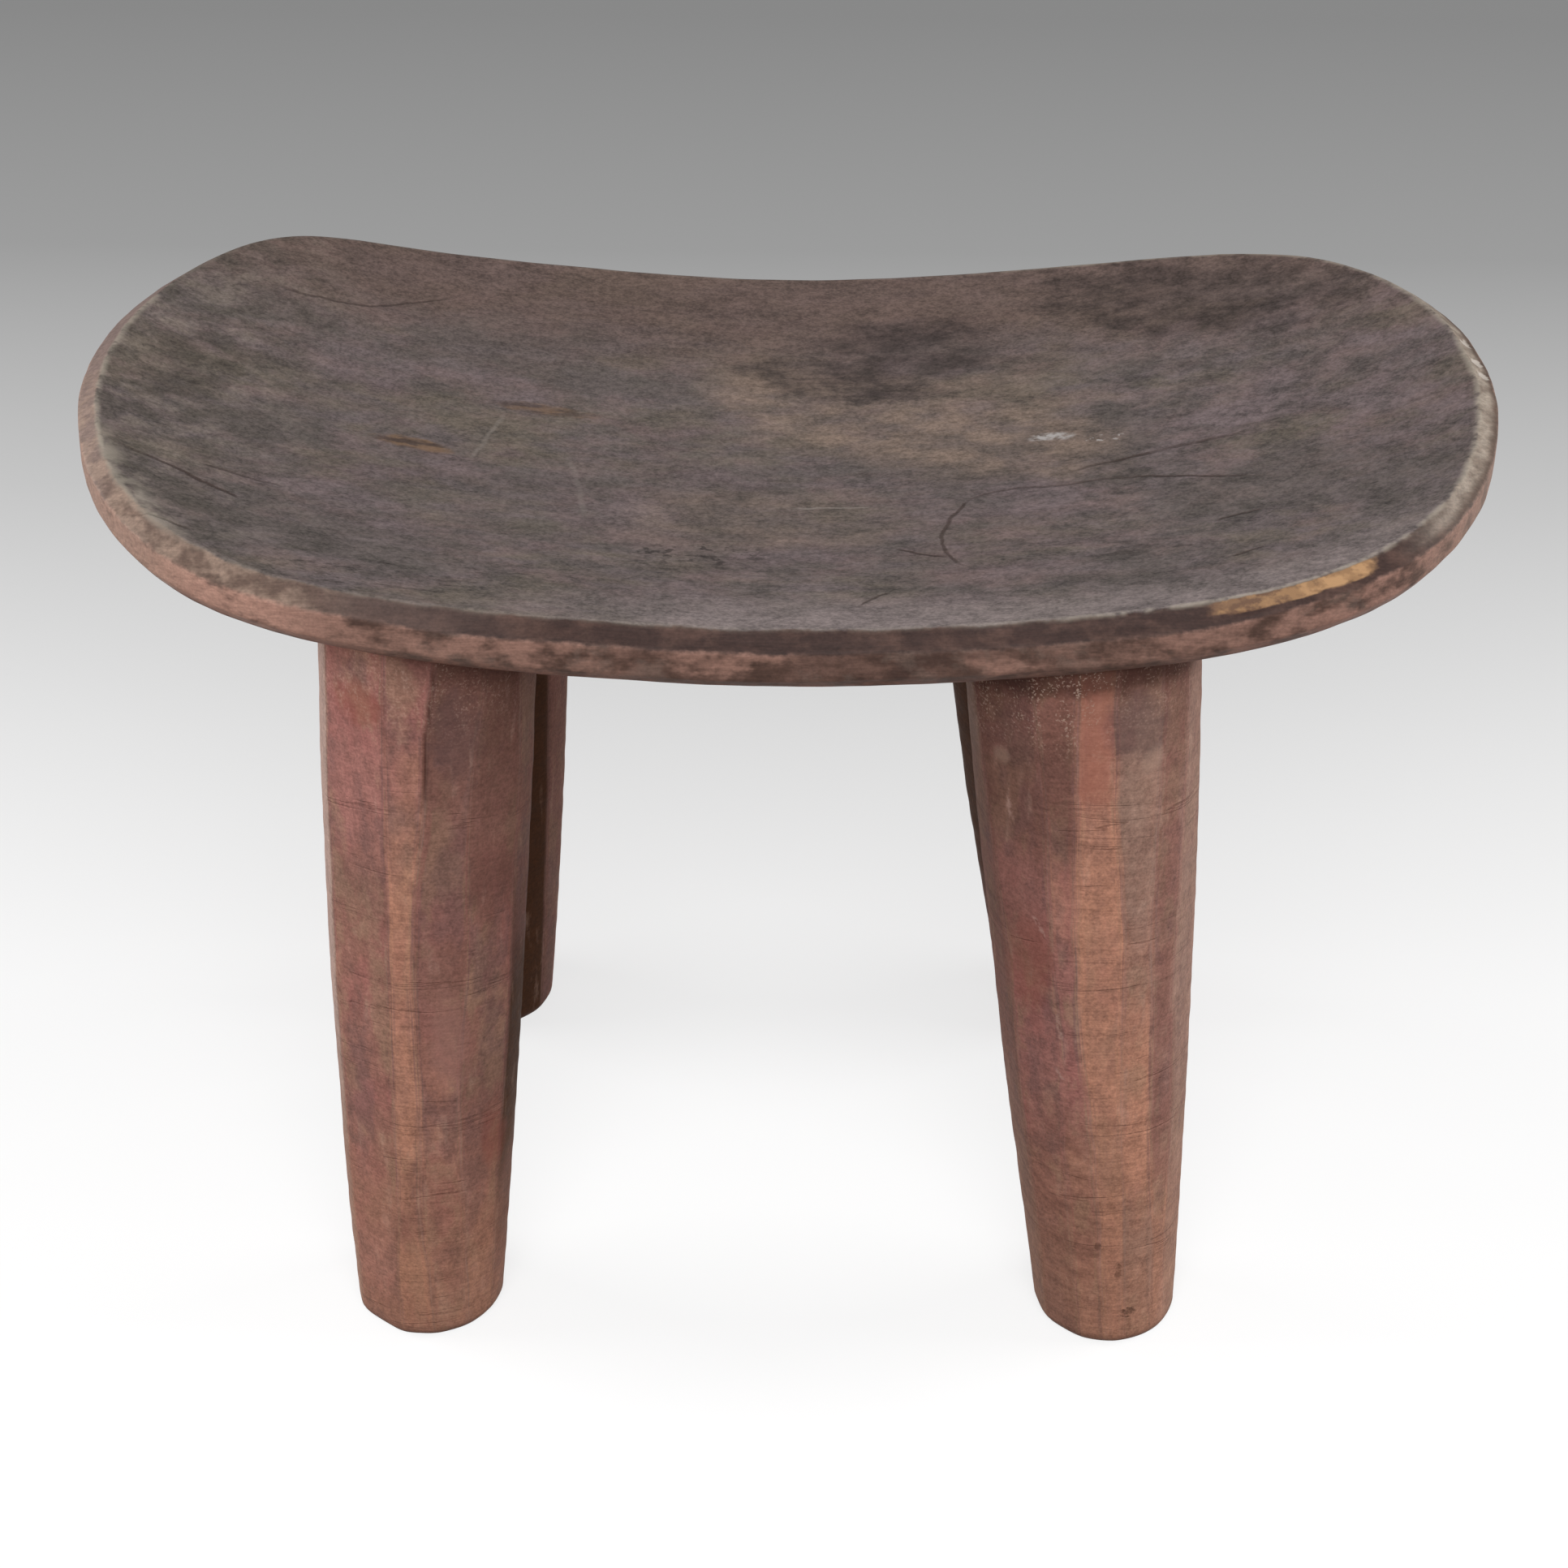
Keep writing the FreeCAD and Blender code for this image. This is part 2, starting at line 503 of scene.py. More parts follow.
dish_waves = 0.30 * waver(carved, (22, 40, 5)) + 0.14 * waver(carved, (70, 120, 5), 6.6)
scallops = 0.9 * np.abs(waver(carved, (26, 44, 5), 1.7)) + 0.3 * waver(carved, (90, 120, 5), 8.8)
carved[:, 2] += mm * np.where(is_top, (dish_waves - 0.2) * soft_step(-rim_run, 0, 8), 0)
carved[:, 2] += mm * np.where(is_under, scallops * soft_step(rim_run, rim_end, rim_end + 6), 0)
cuts = 0.55 * np.abs(waver(carved, (34, 34, 60), 4.1)) + 0.2 * np.abs(waver(carved, (120, 120, 160), 2.7))
on_rim = soft_step(rim_run, 0.5, 3) * soft_step(rim_run, 21.5, 19.5)
carved[:, 0] -= way_x * mm * cuts * on_rim
carved[:, 1] -= way_y * mm * cuts * on_rim
corner_x = (carved[:, 0] - corner_middle[0]) / corner_reach[0]
corner_y = (carved[:, 1] - corner_middle[1]) / corner_reach[1]
carved[:, 2] += corner_lift * np.exp(-(corner_x**2) - corner_y**2)
print("dish is", round((lip_middle - carved[is_top, 2].min()) / mm, 1), "mm deep below the middle of the lip")

# %% [markdown]
# A long splinter has broken off below the lip at the front right, and the wood there is bare. The right end
# has small nicks, and the front left a notch. The crest of the lip is worn round: smoothing only the points
# near it does that without touching the dish. The breaks are pressed in afterwards, so that they stay
# rough.

# %% Wear on the rim
crest_reach = 2.2
crest_rounds = 3
all_axes = {"use_axis_x": True, "use_axis_y": True, "use_axis_z": True}
chip_start = 116 * mm
chip_end = 176 * mm
chip_fade_in = 14 * mm
chip_fade_out = 10 * mm
chip_height = 4.6
break_inwards = 0.6
break_downwards = 0.8
nicks = ((219, 23, 4.5), (220, 8, 3.5), (220, -2, 4.0), (-165, -114, 2.5))

write_points(seat_mesh, carved)
seat_bm = bmesh.new()
seat_bm.from_mesh(seat_mesh)
seat_bm.verts.ensure_lookup_table()
crest = [seat_bm.verts[i] for i in np.flatnonzero(np.abs(rim_run) < crest_reach)]
below_crest = (rim_run > crest_reach) & (rim_run < rim_end + 2)
edges_below = [seat_bm.verts[i] for i in np.flatnonzero(below_crest)]
for times in range(crest_rounds):
    bmesh.ops.smooth_vert(seat_bm, verts=crest, factor=0.5, **all_axes)
bmesh.ops.smooth_vert(seat_bm, verts=edges_below, factor=0.4, **all_axes)
seat_bm.to_mesh(seat_mesh)
seat_bm.free()

carved = read_points(seat_mesh)
chip_along = soft_step(carved[:, 0], chip_start, chip_start + chip_fade_in)
chip_along = chip_along * soft_step(carved[:, 0], chip_end, chip_end - chip_fade_out)
ragged_edge = 1.5 * waver(carved, (55, 55, 55), 5.0) + 0.6 * waver(carved, (210, 210, 210), 2.0)
chip_edge = chip_height + ragged_edge + 1.2 * soft_step(carved[:, 0], chip_start, chip_end)
chip = chip_along * (carved[:, 1] < 0) * soft_step(rim_run, -0.2, 0.9)
chip = chip * soft_step(rim_run, chip_edge + 0.9, chip_edge - 0.9)
nick = np.zeros_like(chip)
for nick_x, nick_y, size in nicks:
    away = np.hypot(carved[:, 0] - nick_x * mm, carved[:, 1] - nick_y * mm) / (size * mm)
    dent = soft_step(away + 0.25 * ragged_edge, 1.2, 0.3) * soft_step(rim_run, -3, 0)
    nick = np.maximum(nick, dent * soft_step(rim_run, 9, 5))
break_depth = mm * (chip * (0.6 + 0.6 * waver(carved, (70, 160, 160), 1.1)) + 0.9 * nick)
carved[:, 0] -= way_x * break_depth * break_inwards
carved[:, 1] -= way_y * break_depth * break_inwards
carved[:, 2] -= break_depth * break_downwards
write_points(seat_mesh, carved)
note_on_points(seat_mesh, "rim_run", rim_run)
note_on_points(seat_mesh, "chip", chip)
note_on_points(seat_mesh, "nick", nick)
print("chip covers", int((chip > 0.5).sum()), "points, nicks", int((nick > 0.5).sum()))

# %% [markdown]
# Each leg was hewn with long strokes down its length, and each stroke left one flat facet. So a leg is what
# remains when every flat has been taken off a round post: at any angle its radius is the smallest that any
# flat leaves. A soft form of smallest rounds the arrises, and each flat wavers by itself, which makes them
# wander. A facet's row gives the angle of its first arris at the root, half way down and at the sole, in
# degrees from the front, and then its finish in words from the root to the foot. A finish says how bare,
# grey, deep and rosy the wood is. Grey above 0.9 adds a pale painted sheen, which the word pale gives the
# outermost facets. Deep above 1.1 adds a dark brown painted shade, which the word umber gives the faces
# that turn in under the seat. The bow is how far the middle of a leg stands off the straight line. A crease
# lies between a facet and the one before it, from one share of the leg's height to another, and has a
# strength.

# %% Sizes of the legs
facet_finishes = {
    "dyed": (0.2, 0.1, 0.1, 0.2),
    "rose": (0.15, 0.05, 0, 1),
    "bare": (1.1, 0, 0, 0),
    "orange": (0.8, 0, 0.2, 0.6),
    "tan": (0.7, 0.5, 0, 0),
    "sand": (0.5, 0.85, 0, 0),
    "grey": (0.25, 0.8, 0.05, 0),
    # pale: greyed wood with a painted sheen, for the outermost facets
    "pale": (0.25, 1.6, 0, 0),
    "dusk": (0.15, 0.45, 0.45, 0),
    "plum": (0, 0.45, 0.8, 0),
    "rust": (0.4, 0, 0.35, 0.3),
    "wine": (0.1, 0.1, 0.45, 0.9),
    "russet": (0.1, 0.05, 0.75, 0.2),
    # umber: a dark brown painted shade, for the faces that turn in under the seat
    "umber": (0.1, 0, 1.6, 0),
}

legs = {
    "front_left_leg": {
        "root": (-107.3, -86.0),
        "foot": (-120.4, -86.5),
        "bow": -0.8,
        "radii": (33.7, 25.3),
        "swell": 2.1,
        "creases": ((3, 0.78, 0.99, 1.0), (2, 0.84, 0.97, 0.5)),
        "facets": """
        -98 -97 -95 pale pale pale grey grey
        -57 -58 -58 dyed rose rose dusk dyed dyed dyed rust rose rust
        -17 -14 -17 wine rose tan bare bare bare bare dyed bare tan
        11 -1 9 plum plum dusk wine dusk dyed tan dyed tan tan
        39 27 37 plum plum dusk russet dyed dusk dusk rust tan tan
        65 63 60 grey dusk umber umber tan
        92 90 88 umber umber umber russet
        118 116 113 russet umber umber
        142 146 143 dyed bare bare tan
        171 173 170 plum dyed rose dyed
        202 200 204 rose dusk dyed rust
        232 234 230 dyed tan grey tan
        """,
    },
    "front_right_leg": {
        "root": (89.4, -86.0),
        "foot": (112.4, -86.5),
        "bow": 0.0,
        "radii": (36.2, 24.3),
        "swell": 1.5,
        "creases": ((5, 0.86, 0.99, 0.4),),
        "facets": """
        -98 -96 -95 pale dusk dusk grey grey
        -70 -57 -58 russet russet wine wine rose dyed dusk dusk
        -27 -24 -26 rust plum orange rose rose tan dyed tan
        -7 -10 -1 orange orange bare bare bare bare bare bare bare
        13 12 13 plum sand sand tan bare sand tan
        39 32 40 plum dusk dusk dusk dusk tan tan
        60 51 54 grey grey grey grey grey
        88 84 86 dyed tan grey tan
        116 112 114 dyed rose dusk dyed
        140 142 138 tan bare bare rust
        172 170 173 dusk dyed rose dyed
        203 205 201 russet dusk dyed rust
        236 234 238 russet russet dyed dusk
        """,
    },
    "rear_left_leg": {
        "root": (-109.4, 85.0),
        "foot": (-115.6, 86.0),
        "bow": 0.0,
        "radii": (34.4, 25.4),
        "swell": 2.0,
        "creases": ((9, 0.80, 0.99, 0.8),),
        "facets": """
        -88 -90 -87 dyed rose dyed rust
        -60 -58 -61 dusk umber dusk
        -31 -33 -30 umber umber umber russet
        1 3 0 umber umber umber russet
        29 31 28 umber umber umber umber
        61 57 60 dusk dusk dusk russet
        84 86 83 tan grey tan tan
        108 110 107 dyed dusk rose dusk
        139 137 140 bare bare tan tan
        168 171 168 dyed rose dyed rust
        199 197 201 plum dyed rose dyed
        236 234 237 grey tan grey tan
        """,
    },
    "rear_right_leg": {
        "root": (79.3, 85.0),
        "foot": (108.5, 86.0),
        "bow": 0.0,
        "radii": (36.0, 24.6),
        "swell": 1.8,
        "creases": ((8, 0.82, 0.99, 0.8),),
        "facets": """
        -106 -108 -104 umber umber umber russet
        -79 -77 -80 umber umber umber russet
        -50 -52 -49 umber umber umber russet
        -21 -19 -22 umber umber russet russet
        8 10 7 russet russet dyed dusk
        40 38 41 dyed rose dyed rust
        66 68 65 grey pale grey grey
        93 91 94 tan dyed tan tan
        121 123 120 dyed bare bare rust
        150 148 151 plum rose dyed dyed
        183 185 181 dyed tan dusk tan
        214 212 215 dusk rose dusk dyed
        """,
    },
}
leg_segments = 184
leg_rows = 224
root_overlap = 1.5 * mm
end_insets = (0.12, 0.2, 0.28)
for leg in legs.values():
    rows = [row.split() for row in leg["facets"].strip().splitlines()]
    leg["arrises"] = np.radians([[float(angle) for angle in row[:3]] for row in rows])
    leg["finishes"] = [np.array([facet_finishes[word] for word in row[3:]]) for row in rows]
print("legs have", [len(leg["finishes"]) for leg in legs.values()], "facets")

# %% [markdown]
# A post starts as a cylinder one unit high. Its upright edges are cut into rows, and its ends get three
# inset rings and a fan. The outermost ring lies farther in than the wear of the sole's edge, so that no
# face folds over. The heights and angles of these points are all that the carving needs.


# %% Leg blank
def leg_blank(name):
    """A finely divided upright cylinder of radius 1 and height 1."""
    bm = bmesh.new()
    bmesh.ops.create_cone(bm, cap_ends=True, segments=leg_segments, radius1=1, radius2=1, depth=1)
    bmesh.ops.translate(bm, vec=(0, 0, 0.5), verts=bm.verts)
    uprights = [edge for edge in bm.edges if abs(edge.verts[0].co.z - edge.verts[1].co.z) > 0.5]
    bmesh.ops.subdivide_edges(bm, edges=uprights, cuts=leg_rows - 1)
    ends = [face for face in bm.faces if len(face.verts) > 4]
    for thickness in end_insets:
        bmesh.ops.inset_region(bm, faces=ends, thickness=thickness, use_even_offset=True)
    bmesh.ops.poke(bm, faces=ends)
    bmesh.ops.recalc_face_normals(bm, faces=bm.faces)
    mesh = bpy.data.meshes.new(name)
    bm.to_mesh(mesh)
    bm.free()
    return mesh


print("a leg blank has", leg_rows, "rows of", leg_segments, "faces")

# %% [markdown]
# Now the flats come off one post. Between its two arrises the radius of a flat is that of a straight cut,
# with a slight belly and the dips that single strokes of the blade left. The arrises follow a bent line
# through their three angles. The post leans from its foot to its root, and its top follows the underside of
# the seat and reaches a little into it, so no gap shows.

# %% Carve one leg
flat_limit = 1.3
belly_share = 0.25
skim = 0.15
facet_step = 3.7
leg_step = 11
arris_sharpness = 1.6 / mm
hold_sharpness = 5 / mm


def carve_leg(name, leg, seed):
    """Take the flats off one post, trim it to the underside of the seat and tell what holds each point."""
    mesh = leg_blank(name + "_wood")
    block = read_points(mesh)
    climb = block[:, 2]
    angle = np.arctan2(block[:, 0], -block[:, 1])
    spread = np.hypot(block[:, 0], block[:, 1])
    root = np.array(leg["root"]) * mm
    foot = np.array(leg["foot"]) * mm
    height = float(underside(root[0], root[1]))
    root_radius, foot_radius = leg["radii"]
    corner = mm * (root_radius - (root_radius - foot_radius) * np.clip(1 - climb, 0, 1) ** leg["swell"])

    tops, middles, soles = leg["arrises"].T
    parts = (2 * climb * (climb - 0.5), 4 * climb * (1 - climb), 2 * (climb - 0.5) * (climb - 1))
    tracks = [parts[0] * a + parts[1] * b + parts[2] * c for a, b, c in zip(tops, middles, soles)]
    tracks.append(tracks[0] + 2 * math.pi)
    flats = []
    for k in range(len(tracks) - 1):
        middle = (tracks[k] + tracks[k + 1]) / 2
        half = (tracks[k + 1] - tracks[k]) / 2
        off = np.abs((angle - middle + math.pi) % (2 * math.pi) - math.pi)
        flat = corner * np.cos(half) / np.cos(np.minimum(off, flat_limit))
        belly = (corner - corner * np.cos(half)) * belly_share * np.clip(1 - (off / half) ** 2, 0, 1)
        stroke = np.stack((0 * climb + facet_step * k + leg_step * seed, climb * height, 0 * climb), 1)
        dips = 0.45 * waver(stroke, (1, 16, 1)) + 0.22 * np.abs(waver(stroke, (1, 45, 1), 0.5)) - 0.1
        flats.append(flat + belly - mm * (skim + dips))
    flats = np.array(flats)
    order = np.sort(flats, axis=0)
    held = np.exp(-arris_sharpness * (flats - order[0])).sum(0)
    least = order[0] - np.log(held) / arris_sharpness
    gap = (order[1] - order[0]) / mm
    hold = np.exp(-hold_sharpness * (flats - order[0]))
    hold /= hold.sum(0)

    centre = foot + (root - foot) * climb[:, None]
    centre[:, 0] += leg["bow"] * mm * 4 * climb * (1 - climb)
    points = np.zeros_like(block)
    points[:, 0] = centre[:, 0] + least * spread * np.sin(angle)
    points[:, 1] = centre[:, 1] - least * spread * np.cos(angle)
    points[:, 2] = climb * (underside(points[:, 0], points[:, 1]) + root_overlap)
    return mesh, points, climb, gap, hold, spread


# %% [markdown]
# All four legs are carved in the same way, and their soles' edges are worn round. Each point learns from
# the facets that hold it how bare, grey, deep and rosy its wood is, whether it lies on an arris or in a
# crease, and how high up it is. The material of the legs reads these notes.

# %% Carve the four legs
side_spread = 0.999
rough_depth = 0.18
sole_wear = 1.2
sole_wear_height = 2.2 * mm
finish_step = 5.3
layer_step = 6.18
arris_width = 0.35

leg_meshes = {}
for seed, (name, leg) in enumerate(legs.items()):
    mesh, points, climb, gap, hold, spread = carve_leg(name, leg, seed)
    on_side = spread > side_spread
    rough = rough_depth * waver(points, (90, 90, 160), seed) * on_side
    axis = (np.array(leg["foot"]) + (np.array(leg["root"]) - leg["foot"]) * climb[:, None]) * mm
    out = points[:, :2] - axis
    out /= np.maximum(np.hypot(out[:, 0], out[:, 1]), tiny)[:, None]
    worn_edge = soft_step(points[:, 2], sole_wear_height, 0) * on_side
    points[:, :2] += out * mm * (rough - sole_wear * worn_edge)[:, None]
    finish = np.zeros((len(climb), 4))
    for k, layers in enumerate(leg["finishes"]):
        stroke = np.stack((0 * climb + finish_step * k, climb, 0 * climb), 1)
        down = 1 - climb + 0.05 * waver(points, (60, 60, 60), seed + k)
        down = down + 0.05 * waver(stroke, (1, 7, 1), seed)
        places = np.linspace(0, 1, len(layers))
        finish += hold[k][:, None] * np.stack([np.interp(down, places, part) for part in layers.T], 1)
    crease = np.zeros_like(climb)
    for k, low, high, depth in leg["creases"]:
        along = soft_step(climb, low, low + 0.05) * soft_step(climb, high, high - 0.03)
        crease = np.maximum(crease, depth * along * (4 * hold[k - 1] * hold[k]) ** 1.5)
    write_points(mesh, points)
    note_on_points(mesh, "crease", crease)
    note_on_points(mesh, "stroke_layer", hold.T @ (np.arange(len(hold)) * layer_step % 10))
    for k, part in enumerate(("bare", "grey", "deep", "rose")):
        note_on_points(mesh, part, finish[:, k])
    note_on_points(mesh, "arris", np.exp(-((gap / arris_width) ** 2)))
    note_on_points(mesh, "climb", climb)
    leg_meshes[name] = mesh
    print(name, "stands", round(points[:, 2].max() / mm, 1), "mm tall on", int(on_side.sum()), "points")

# %% [markdown]
# The stool is one log, and its grain runs from end to end of the seat. So the legs show their fibres lying
# across them, and the ends of the seat show end grain. A texture that depends on the place in space, and
# not on the surface, does this by itself: noise that is stretched along x is the fibre, and layers that
# curve about the log's heart are its growth rings.

# %% Log
log_heart = 0.62
ring_sway = 0.012
flattening = 0.35
relief_depth = 0.5 * mm


def cloud(spot, per_metre, detail=2.0, shift=0.0, roughness=0.55, layer=0.0):
    """Soft noise from 0 to 1, with so many clouds per metre; each layer has its own clouds."""
    settings = {"operation": "MULTIPLY_ADD"}
    scaled = spot.node("VectorMath", settings, {0: spot, 1: per_metre, 2: (shift, shift, shift)})
    inputs = {"Vector": scaled, "Scale": 1.0, "Detail": detail, "Roughness": roughness}
    if isinstance(layer, Wire):
        return spot.node("TexNoise", {"noise_dimensions": "4D"}, {**inputs, "W": layer})
    return spot.node("TexNoise", {}, inputs)


def log_parts(start):
    """Where a point is in the log: its place, its x, y and z, and the place with rings laid flat."""
    spot = start.node("TexCoord", {}, {}, "Object")
    x, y, z = [start.node("SeparateXYZ", {}, {0: spot}, axis) for axis in "XYZ"]
    up = log_heart - z
    ring = start.sum("SQRT", y * y + up * up)
    sway = (cloud(spot, (9, 9, 9), 2.0, 4.0) - 0.5) * ring_sway
    layered = start.node("CombineXYZ", {}, {0: x, 1: y * flattening, 2: ring + sway})
    return spot, x, y, z, layered


def finish_wood(colour, roughness, shine, height, strength):
    """End a material: a dull surface with its colour and its fine relief."""
    relief = {"Strength": strength, "Distance": relief_depth, "Height": height}
    surface = {
        "Base Color": colour,
        "Roughness": roughness,
        "Specular IOR Level": shine,
        "Normal": colour.node("Bump", {}, relief, "Normal"),
    }
    wood = colour.node("BsdfPrincipled", {}, surface)
    colour.node("OutputMaterial", {}, {"Surface": wood})


print("the heart of the log lies", round((log_heart - lip_middle) / mm), "mm above the lip")


# %% [markdown]
# A blot is a soft-edged patch, the base of every stain and worn spot. A crack follows a drawn line: a Float
# Curve holds the line's course, and the mask is 1 where a point lies within the crack's width of it. The
# line shakes a little, because wood splits from pore to pore.


# %% Blots and cracks
def blot(x, y, shake, middle, reach, turn=0.0):
    """1 in the middle of an oval patch and 0 outside it; sizes in millimetres."""
    c = math.cos(math.radians(turn))
    s = math.sin(math.radians(turn))
    dx = x - middle[0] * mm
    dy = y - middle[1] * mm
    far = (dx * c + dy * s) / (reach[0] * mm)
    wide = (dy * c - dx * s) / (reach[1] * mm)
    return ramp(far * far + wide * wide + (shake - 0.5) * 2.2, 1.15, 0.1)


def crack(main, other, shake, course, width, tips=(0.18, 0.18)):
    """1 along a line that thins out over its tips; course lists places along and across, in millimetres."""
    low, high = course[0][0], course[-1][0]
    across = [place[1] for place in course]
    least, most = min(across) - 5, max(across) + 5
    curve = [((a - low) / (high - low), (b - least) / (most - least)) for a, b in course]
    share = (main / mm - low) / (high - low)
    line = main.node("FloatCurve", {"curve": curve}, {"Value": share}) * (most - least) + least
    off = abs(other / mm - line + (shake - 0.5) * 3.0)
    taper = ramp(share, 0.0, tips[0]) * ramp(share, 1.0, 1.0 - tips[1])
    return ramp(off, width * 1.3, width * 0.2) * taper


# %% [markdown]
# The seat's top is grey with age and use: faint clouds of grey, olive and plum, a tan place where it is sat
# on, a browner back, dark stains, and a paler border at the front, partly rubbed and partly a painted
# sheen. Fine streaks of three sizes lie over all of it, along the grain. Each layer is a share and a colour,
# from the broadest to the smallest, so each can be tuned alone.

# %% Top of the seat
greyed = tint(104, 93, 93)
olive = tint(103, 93, 84)
plum = tint(102, 88, 87)
tan = tint(127, 109, 97)
brown = tint(98, 80, 73)
ink = tint(60, 52, 50)
ash = tint(127, 116, 114)
cream = tint(170, 160, 146)

seat_material, start = new_material("seat_wood")
spot, x, y, z, layered = log_parts(start)
x_mm = x / mm
y_mm = y / mm
run = noted(start, "rim_run")

fibre = cloud(layered, (12, 420, 420), 4)
streak = cloud(layered, (34, 1000, 800), 3, 4)
thread = cloud(layered, (90, 2200, 1600), 2, 2)
patches = cloud(spot, (16, 30, 12), 4, 1)
patches_2 = cloud(spot, (20, 34, 12), 4, 9)
mottle = cloud(spot, (60, 100, 100), 4, 5)
dapple = cloud(spot, (42, 64, 50), 3, 15, 0.65)
dapple_2 = cloud(spot, (75, 100, 90), 3, 17, 0.65)
speck = cloud(spot, (420, 520, 520), 2, 3)
grain = cloud(spot, (1000, 1400, 1400), 1, 8)

sat_on = blot(x, y, patches_2, (45, 24), (82, 34), -28) | blot(x, y, patches, (-12, -40), (55, 24)) * 0.5
back = ramp(y_mm + (patches - 0.5) * 60, 40, 105)
left_end = ramp(x_mm, -130, -200)
stains = (
    blot(x, y, mottle, (40, 76), (34, 22), -25)
    | blot(x, y, mottle, (18, 56), (38, 15), -8)
    | blot(x, y, mottle, (135, 90), (62, 26), -22) * 0.8
    | blot(x, y, mottle, (-194, 14), (18, 26)) * 0.4
)
stain_share = 0.5 + ramp(dapple_2 + (streak - 0.5) * 0.5, 0.6, 0.4) * 0.25
# the paler border near the front lip: partly rubbed wood, partly a painted sheen
front_rub_and_sheen = ramp(run, -38, -7) * ramp(y_mm, -62, -104) * ramp(x_mm, -110, -10)
streaky = (
    blot(x, y, patches, (-116, -102), (62, 20), 10)
    | blot(x, y, patches, (100, -72), (34, 14), -16) * 0.7
    | blot(x, y, patches, (-30, -69), (30, 10), 4)
    | left_end * 0.5
    | 0.12
)
dashes = ramp(streak + (thread - 0.5) * 0.4, 0.42, 0.31) * streaky
pitted = blot(x, y, dapple_2, (-26, -66), (28, 11), 6) | blot(x, y, dapple_2, (-118, -104), (40, 10), 8) * 0.4
pits = ramp(cloud(spot, (230, 300, 300), 2, 21), 0.53, 0.61) * pitted

top_colour = painted(
    blend(ramp(patches + (fibre - 0.5) * 0.4, 0.4, 0.64), greyed, olive),
    (ramp(patches_2 + (fibre - 0.5) * 0.4, 0.42, 0.66), plum),
    (ramp(dapple, 0.46, 0.66) * 0.35, tint(114, 94, 91)),
    (ramp(dapple_2, 0.54, 0.36) * 0.4, tint(91, 85, 80)),
    (ramp(patches, 0.5, 0.36) * 0.45, tint(84, 78, 71)),
    (ramp(patches_2, 0.54, 0.68) * 0.35, tint(120, 109, 111)),
    (sat_on * (0.3 + ramp(mottle, 0.35, 0.65) * 0.55), tan),
    (back * 0.75, brown),
    (left_end * ramp(mottle, 0.58, 0.4) * 0.5, tint(84, 78, 69)),
    (left_end * ramp(mottle, 0.5, 0.66) * 0.4, tint(126, 115, 104)),
    (stains * stain_share, ink),
    (front_rub_and_sheen * 0.85, ash),
    (dashes * 0.5, tint(60, 51, 48)),
    (pits * 0.7, tint(50, 44, 42)),
)
tones = tone(fibre, 0.08) + tone(streak, 0.1) + tone(thread, 0.1) + tone(mottle, 0.2) + tone(dapple, 0.14)
tones = tones + tone(speck, 0.35) + tone(grain, 0.35)
lively = ramp(x_mm, 30, 110) | ramp(y_mm, -50, -90) * 0.8
tones = tones + (tone(dapple_2) - 0.5) * (0.06 + lively * 0.3)
top_colour = shaded(top_colour, tones + 0.36)
print("top of the seat has", len(seat_material.node_tree.nodes), "nodes so far")

# %% [markdown]
# Cracks follow the grain: a long one runs in from the right and hooks towards the front, with a branch
# above it, and shorter ones run in from the left end. Two old scars show orange wood, and a few pale
# scratches cross the seat. Wood opens unevenly, so noise makes the lines fade and come back. They also go
# into the bump.

# %% Cracks and scars
long_course = ((56, -30), (60, -26), (72, -22), (85, -22), (100, -21), (129, -27), (156, -38))
hook_course = ((-79, 58), (-67, 50), (-55, 48), (-42, 51), (-29, 57))
branch_course = ((84, -14), (103, -9), (124, -4), (150, -1))
left_course = ((-214, -48), (-192, -52), (-171, -61), (-164, -64))
short_cracks = (
    (((33, -60), (46, -67), (50, -68)), 0.8, 1),
    (((130, -60), (136, -58.5), (146, -56)), 0.8, 0.8),
    (((132, -88), (137, -86), (143, -84)), 0.8, 0.8),
    (((22, -103), (26, -98), (32, -93)), 0.8, 0.8),
    (((-176, 75), (-159, 74), (-145, 76), (-131, 83), (-112, 95)), 0.7, 0.75),
    (((-200, -85), (-184, -92), (-172, -95)), 0.8, 1),
    (((-180, -46), (-168, -48), (-152, -50)), 0.7, 0.6),
)

shake = cloud(spot, (140, 140, 40), 3, 6)
open_share = 0.35 + ramp(cloud(spot, (45, 45, 45), 2, 12), 0.42, 0.58) * 0.65
main_cracks = [
    crack(x, y, shake, long_course, 0.8, (0.02, 0.3)) * (open_share | 0.6 | ramp(x_mm, 96, 116)),
    crack(y, x, shake, hook_course, 0.75, (0.2, 0.02)) * 0.9,
    crack(x, y, shake, branch_course, 1) * (open_share | 0.6),
    crack(x, y, shake, left_course, 1, (0.6, 0.06)),
]
side_cracks = [crack(x, y, shake, course, width) * share for course, width, share in short_cracks]
cracks = strongest(main_cracks + side_cracks)
scars = blot(x, y, shake, (-119, -5), (13, 4.2), -8) | blot(x, y, shake, (-80, 28), (18, 4), -4) * 0.7
scratches = (
    crack(y, x, shake, ((-13, -101), (4, -97), (24, -92)), 1) * 0.5 * open_share
    | crack(y, x, shake, ((-46, -62), (-20, -66), (-1, -70)), 1.2) * 0.4 * open_share
    | crack(x, y, shake, ((1, -30), (14, -30), (28, -30)), 0.5)
)
rubbed = blot(x, y, shake, (85, 12), (8, 3)) | blot(x, y, mottle, (102, 8), (10, 3)) * ramp(speck, 0.6, 0.68)
scar_colour = blend(ramp(streak, 0.42, 0.58), tint(72, 54, 43), tint(126, 98, 72))
